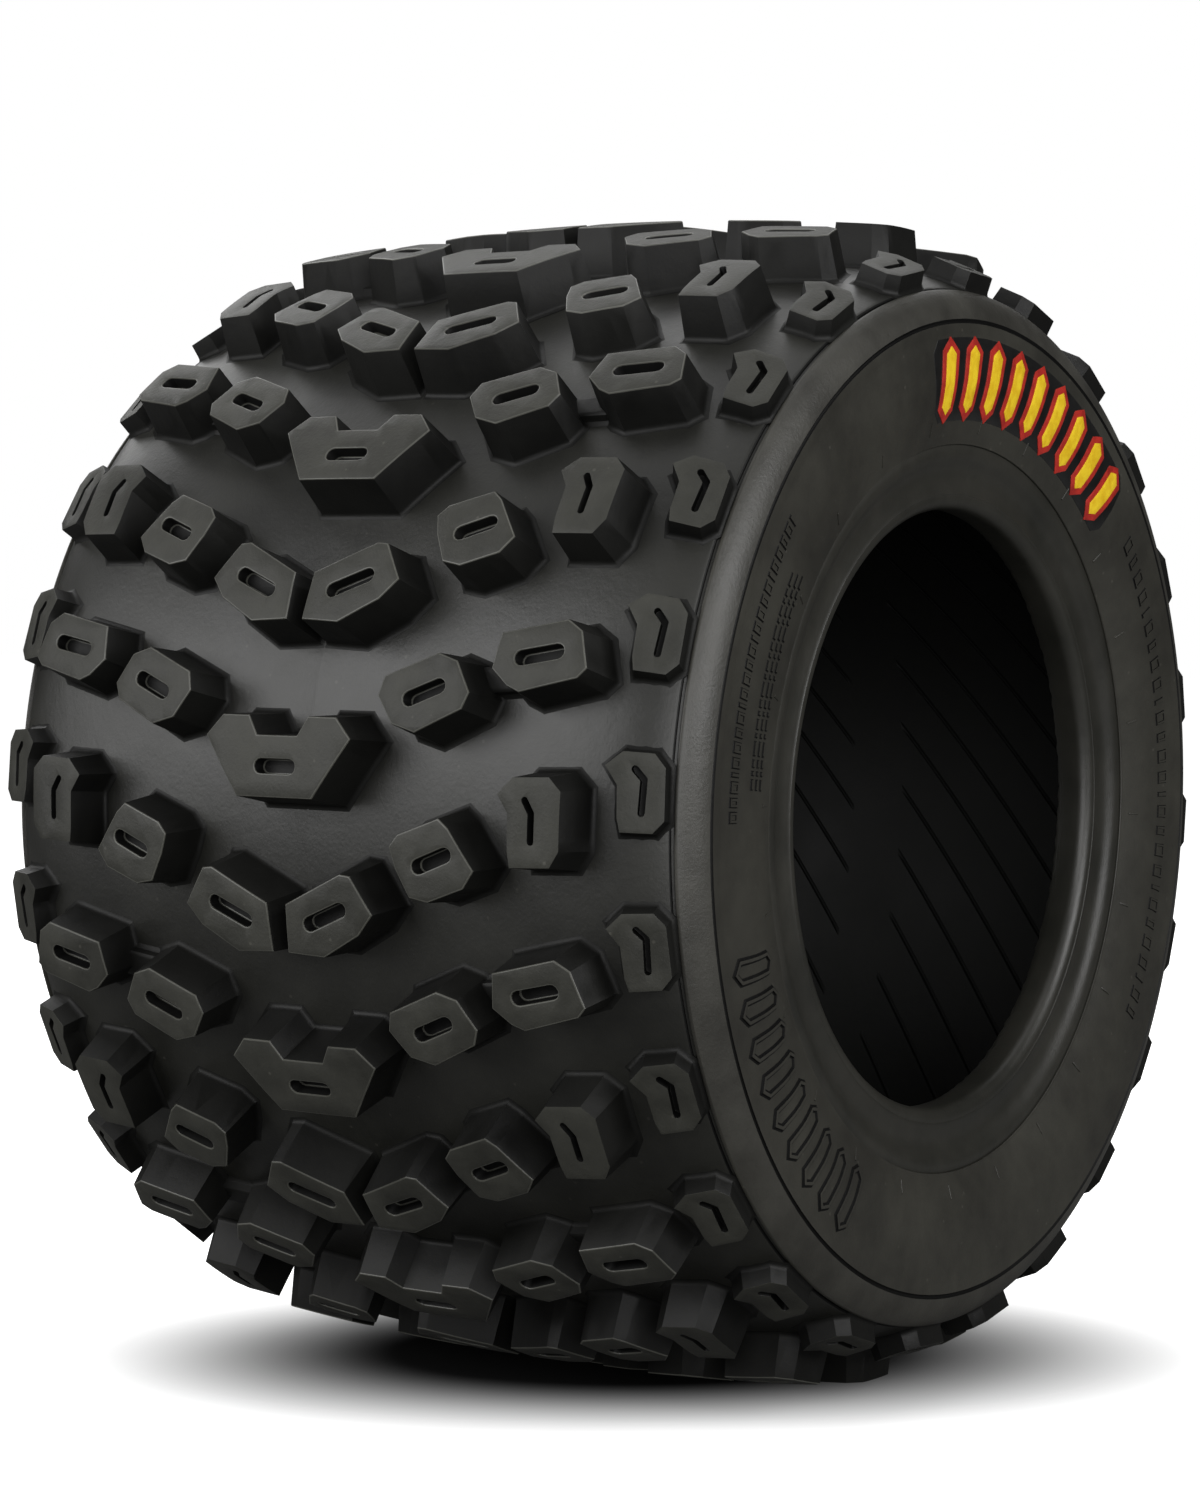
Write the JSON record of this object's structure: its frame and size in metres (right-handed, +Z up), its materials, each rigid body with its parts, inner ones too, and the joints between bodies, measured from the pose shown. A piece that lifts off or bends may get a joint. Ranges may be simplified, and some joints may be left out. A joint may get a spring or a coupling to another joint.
{
  "type": "knobby quad tyre",
  "caption": "Bare wide knobby rear tyre for a sport quad, with block tread, tubeless beads and a layered cord casing.",
  "frame": {"origin": "centre of the tyre, on the axle and midway between the beads", "axes": "+Y along the axle towards the left sidewall, +Z up, the tread runs round Y; the painted mark is on the -Y side"},
  "size_m": [0.4566, 0.3128, 0.4566],
  "materials": {
    "tread_rubber": "smooth moulded rubber, matt",
    "knob_rubber": "moulded rubber with lighter, dry tops",
    "sidewall_rubber": "smooth moulded rubber, satin",
    "bead_rubber": "hard rubber, satin",
    "liner_rubber": "airtight rubber with bladder ridges",
    "cushion_rubber": "soft rubber, unseen",
    "ply_cord": "cord in rubber, unseen",
    "wrap_tape": "rubbered tape, unseen",
    "bead_steel": "plated wire, unseen",
    "mark_paint": "coloured rubber ink, matt"
  },
  "bodies": {
    "root": {"inner_liner": "liner_rubber", "casing_ply_1": "ply_cord", "casing_ply_2": "ply_cord", "tread_cushion": "cushion_rubber", "tread_band": "tread_rubber", "sidewall_left": "sidewall_rubber", "sidewall_right": "sidewall_rubber", "chafer_left": "bead_rubber", "chafer_right": "bead_rubber", "bead_filler_left": "cushion_rubber", "bead_filler_right": "cushion_rubber", "bead_wrap_left": "wrap_tape", "bead_wrap_right": "wrap_tape", "bead_wires_left": "bead_steel", "bead_wires_right": "bead_steel", "centre_knobs": "knob_rubber", "pair_knobs": "knob_rubber", "linked_knobs_left": "knob_rubber", "linked_knobs_right": "knob_rubber", "slant_knobs_left": "knob_rubber", "slant_knobs_right": "knob_rubber", "hooked_knobs_left": "knob_rubber", "hooked_knobs_right": "knob_rubber", "side_knobs_left": "knob_rubber", "side_knobs_right": "knob_rubber", "side_mark": "mark_paint"}
  },
  "joints": []
}
